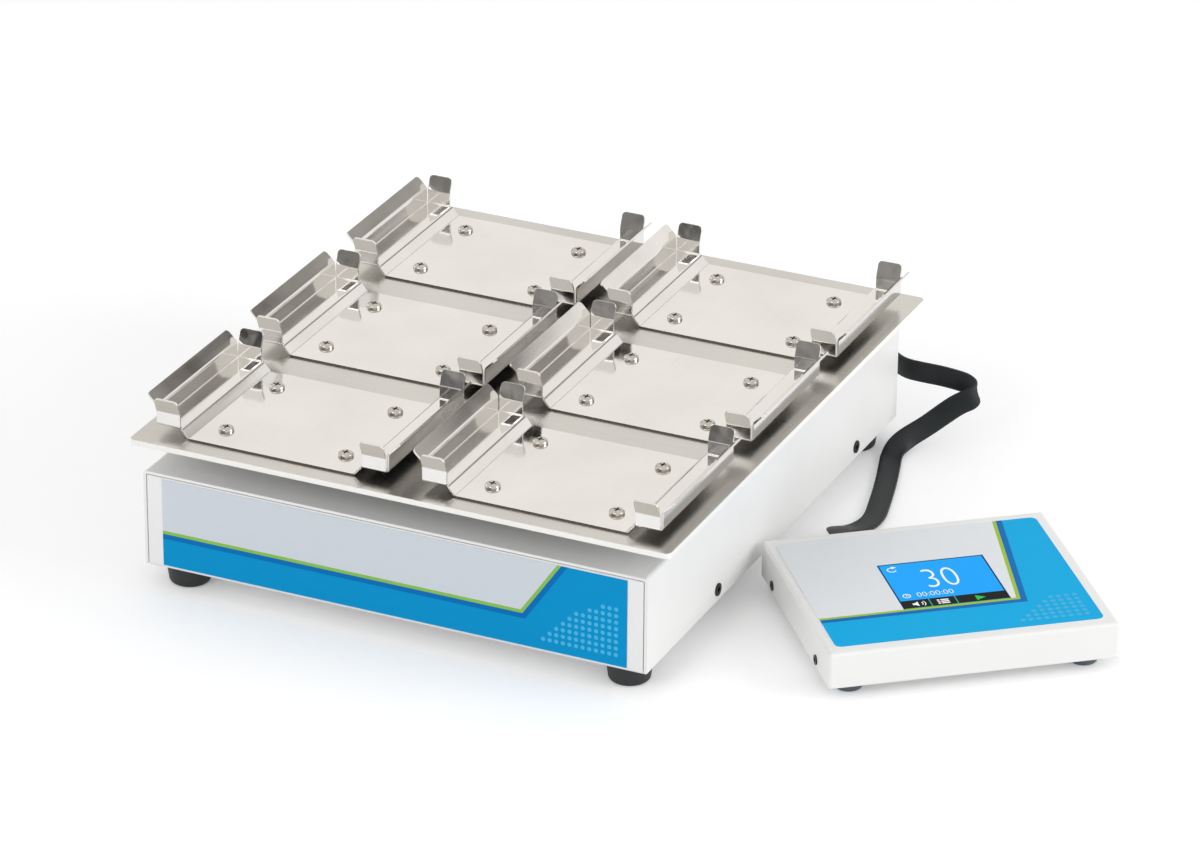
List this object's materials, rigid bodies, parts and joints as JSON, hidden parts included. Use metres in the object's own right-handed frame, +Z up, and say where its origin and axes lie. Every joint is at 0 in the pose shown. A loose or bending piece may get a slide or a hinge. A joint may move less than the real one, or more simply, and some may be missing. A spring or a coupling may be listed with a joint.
{
  "type": "orbital microplate shaker",
  "caption": "Bench orbital shaker with a steel platform of flared microplate holders over a white housing, driven by eccentric cranks, with a wired touch-screen remote.",
  "frame": {"origin": "on the bench, under the drive crank's axis in the middle of the housing", "axes": "+X to the right along the housing's front, towards the remote; +Y to the back; +Z up"},
  "size_m": [0.4815, 0.3757, 0.1088],
  "materials": {
    "white_coat": "white powder coat, satin",
    "front_print": "printed polyester label, blue, green and pale grey",
    "remote_print": "printed polyester overlay, blue, green and pale grey",
    "stainless": "fine brushed stainless sheet",
    "polished_stainless": "polished stainless sheet",
    "screw_steel": "bright zinc or stainless fasteners",
    "black_screw": "black oxide screws",
    "rubber_black": "moulded rubber, matte",
    "rubber_slate": "moulded rubber, slate grey",
    "cast_aluminium": "machined aluminium",
    "bearing_steel": "ground bearing steel",
    "crank_steel": "turned steel",
    "weight_steel": "black steel",
    "pulley_aluminium": "anodised aluminium",
    "belt_rubber": "toothed belt rubber",
    "motor_case": "die-cast aluminium",
    "board_green": "circuit board with solder mask",
    "brass_post": "brass stand-off",
    "cable_black": "flat cable jacket, matte",
    "gland_black": "moulded cable gland",
    "screen_glass": "cover glass of a colour touch screen",
    "black_plastic": "moulded black plastic"
  },
  "bodies": {
    "root": {"base_pan": "white_coat", "housing_cover": "white_coat", "remote_cover": "white_coat", "remote_base": "white_coat", "front_label": "front_print", "remote_overlay": "remote_print", "deck_screws": "screw_steel", "bearing_screws": "screw_steel", "motor_screws": "screw_steel", "foot_screws": "screw_steel", "cover_screws": "black_screw", "remote_screws": "black_screw", "base_feet": "rubber_black", "remote_feet": "rubber_slate", "bearing_deck": "cast_aluminium", "drive_bearing_housing": "cast_aluminium", "idler_bearing_housings": "cast_aluminium", "deck_posts": "cast_aluminium", "drive_bearings": "bearing_steel", "idler_bearings": "bearing_steel", "timing_belt": "belt_rubber", "motor_body": "motor_case", "driver_board": "board_green", "remote_board": "board_green", "board_posts": "brass_post", "remote_board_posts": "brass_post", "flat_cable": "cable_black", "base_cable_gland": "gland_black", "remote_cable_gland": "gland_black", "display_glass": "screen_glass", "display_module": "black_plastic", "sounder": "black_plastic", "switch_body": "black_plastic", "power_jack": "black_plastic"},
    "drive_crank": {"drive_crank": "crank_steel", "counterweight": "weight_steel", "counterweight_screws": "screw_steel", "drive_pulley": "pulley_aluminium"},
    "motor_rotor": {"motor_shaft": "crank_steel", "motor_pulley": "pulley_aluminium", "motor_magnet_rotor": "crank_steel"},
    "idler_front_left": {"idler_crank_front_left": "crank_steel"},
    "idler_front_right": {"idler_crank_front_right": "crank_steel"},
    "idler_rear_left": {"idler_crank_rear_left": "crank_steel"},
    "idler_rear_right": {"idler_crank_rear_right": "crank_steel"},
    "platform": {"platform_plate": "stainless", "platform_studs": "screw_steel", "platform_carrier": "cast_aluminium", "carrier_bearing_rings": "cast_aluminium", "carrier_ring_screws": "screw_steel", "carrier_bearings": "bearing_steel", "platform_nuts": "screw_steel", "holder_screws": "screw_steel", "holder_front_left": "polished_stainless", "holder_front_right": "polished_stainless", "holder_middle_left": "polished_stainless", "holder_middle_right": "polished_stainless", "holder_rear_left": "polished_stainless", "holder_rear_right": "polished_stainless"},
    "power_rocker": {"power_rocker": "black_plastic"}
  },
  "joints": [
    {"name": "drive_crank_spin", "type": "hinge", "parent": "root", "child": "drive_crank", "pos_m": [0, 0, 0.05], "axis": [0, 0, 1], "continuous": true},
    {"name": "platform_orbit", "type": "hinge", "parent": "drive_crank", "child": "platform", "pos_m": [0.00672, -0.00672, 0.075], "axis": [0, 0, 1], "continuous": true},
    {"name": "motor_spin", "type": "hinge", "parent": "root", "child": "motor_rotor", "pos_m": [0, -0.1, 0.03], "axis": [0, 0, 1], "continuous": true},
    {"name": "power_rocker_tilt", "type": "hinge", "parent": "root", "child": "power_rocker", "pos_m": [0.22133, 0.03481, 0.0165], "axis": [0, 0, 1], "range_deg": [-24, 0]},
    {"name": "idler_front_left_spin", "type": "hinge", "parent": "root", "child": "idler_front_left", "pos_m": [-0.088, -0.098, 0.05], "axis": [0, 0, 1], "continuous": true},
    {"name": "idler_front_right_spin", "type": "hinge", "parent": "root", "child": "idler_front_right", "pos_m": [0.088, -0.098, 0.05], "axis": [0, 0, 1], "continuous": true},
    {"name": "idler_rear_left_spin", "type": "hinge", "parent": "root", "child": "idler_rear_left", "pos_m": [-0.088, 0.098, 0.05], "axis": [0, 0, 1], "continuous": true},
    {"name": "idler_rear_right_spin", "type": "hinge", "parent": "root", "child": "idler_rear_right", "pos_m": [0.088, 0.098, 0.05], "axis": [0, 0, 1], "continuous": true}
  ],
  "couplings": [
    {"joint": "platform_orbit", "follows": "drive_crank_spin", "ratio": -1},
    {"joint": "motor_spin", "follows": "drive_crank_spin", "ratio": 3},
    {"joint": "idler_front_left_spin", "follows": "drive_crank_spin", "ratio": 1},
    {"joint": "idler_front_right_spin", "follows": "drive_crank_spin", "ratio": 1},
    {"joint": "idler_rear_left_spin", "follows": "drive_crank_spin", "ratio": 1},
    {"joint": "idler_rear_right_spin", "follows": "drive_crank_spin", "ratio": 1}
  ]
}
